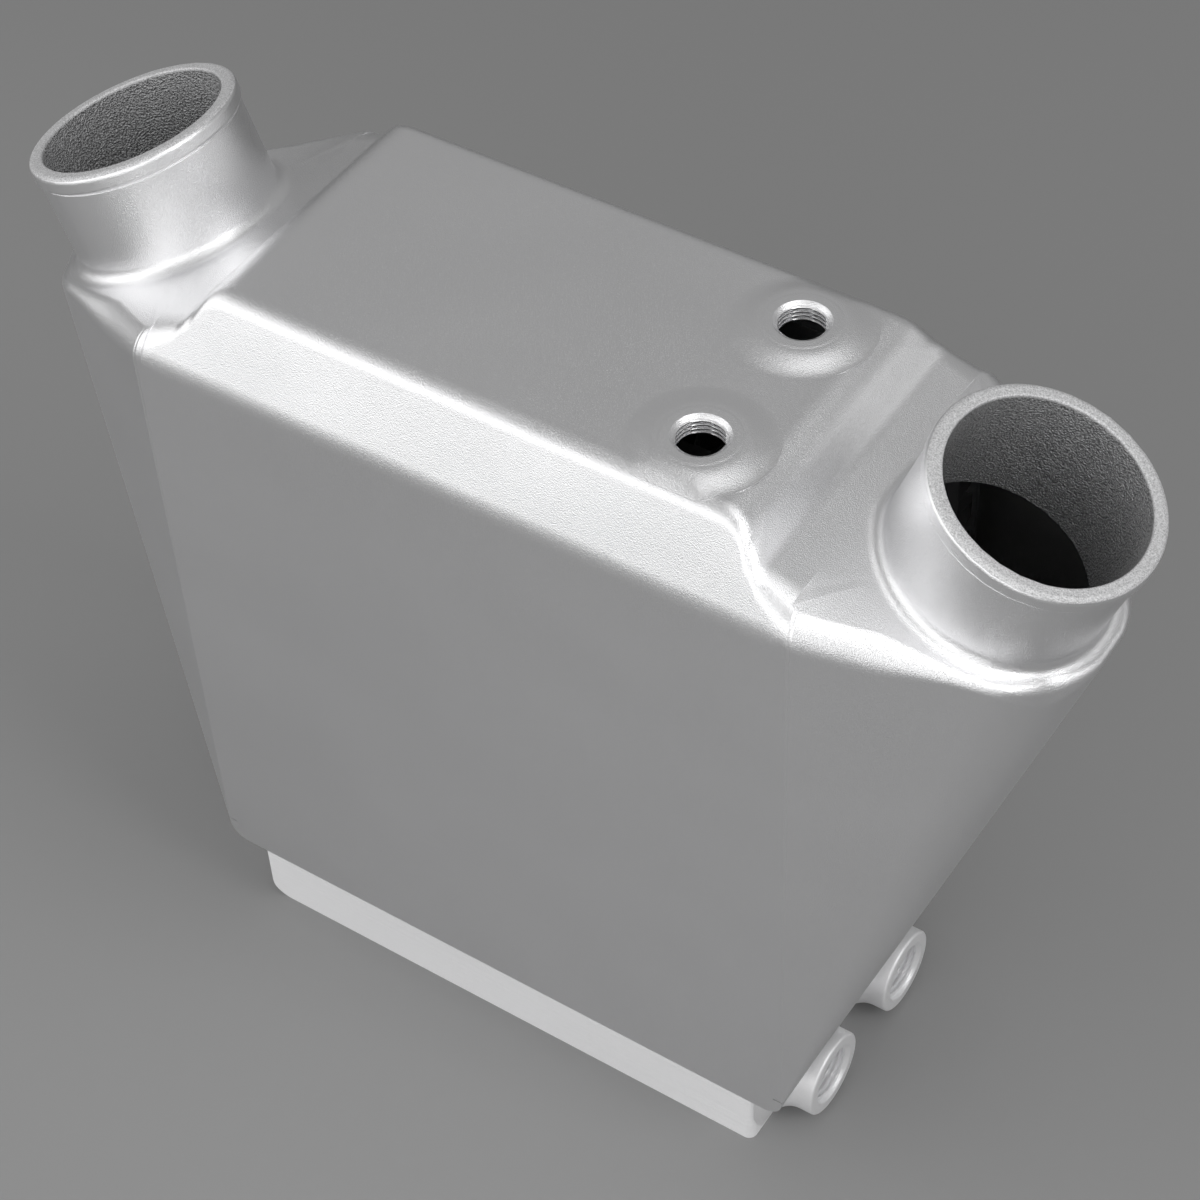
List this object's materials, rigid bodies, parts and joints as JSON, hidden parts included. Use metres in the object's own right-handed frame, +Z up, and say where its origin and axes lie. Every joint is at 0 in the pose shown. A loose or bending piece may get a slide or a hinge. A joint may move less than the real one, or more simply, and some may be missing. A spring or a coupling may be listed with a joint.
{
  "type": "intercooler",
  "caption": "Water-to-air intercooler: a bar-and-plate core between cast end tanks with slanted hose spigots and water tanks with threaded ports.",
  "frame": {"origin": "centre of the overall box, on the plane the lower water tank stands on", "axes": "+X from the left end tank to the right one, towards the end with the lower ports; +Y from the front side plate to the rear one; +Z up"},
  "size_m": [0.4842, 0.1544, 0.3946],
  "materials": {
    "cast_metal": "satin, blended welds",
    "sheet_metal": "satin, finely brushed",
    "bung_metal": "turned",
    "core_metal": "brazed"
  },
  "bodies": {
    "root": {"front_side_plate": "sheet_metal", "rear_side_plate": "sheet_metal", "top_water_tank": "sheet_metal", "bottom_water_tank": "sheet_metal", "left_end_tank": "cast_metal", "right_end_tank": "cast_metal", "top_front_bung": "bung_metal", "top_rear_bung": "bung_metal", "bottom_front_bung": "bung_metal", "bottom_rear_bung": "bung_metal", "core_base_plate": "core_metal", "air_fin_1": "core_metal", "air_fin_2": "core_metal", "air_fin_3": "core_metal", "air_fin_4": "core_metal", "air_fin_5": "core_metal", "air_fin_6": "core_metal", "water_fin_1": "core_metal", "water_fin_2": "core_metal", "water_fin_3": "core_metal", "water_fin_4": "core_metal", "water_fin_5": "core_metal", "separator_plate_01": "core_metal", "separator_plate_02": "core_metal", "separator_plate_03": "core_metal", "separator_plate_04": "core_metal", "separator_plate_05": "core_metal", "separator_plate_06": "core_metal", "separator_plate_07": "core_metal", "separator_plate_08": "core_metal", "separator_plate_09": "core_metal", "separator_plate_10": "core_metal", "air_bar_top_1": "core_metal", "air_bar_top_2": "core_metal", "air_bar_top_3": "core_metal", "air_bar_top_4": "core_metal", "air_bar_top_5": "core_metal", "air_bar_top_6": "core_metal", "air_bar_bottom_1": "core_metal", "air_bar_bottom_2": "core_metal", "air_bar_bottom_3": "core_metal", "air_bar_bottom_4": "core_metal", "air_bar_bottom_5": "core_metal", "air_bar_bottom_6": "core_metal", "water_bar_left_1": "core_metal", "water_bar_left_2": "core_metal", "water_bar_left_3": "core_metal", "water_bar_left_4": "core_metal", "water_bar_left_5": "core_metal", "water_bar_right_1": "core_metal", "water_bar_right_2": "core_metal", "water_bar_right_3": "core_metal", "water_bar_right_4": "core_metal", "water_bar_right_5": "core_metal"}
  },
  "joints": []
}
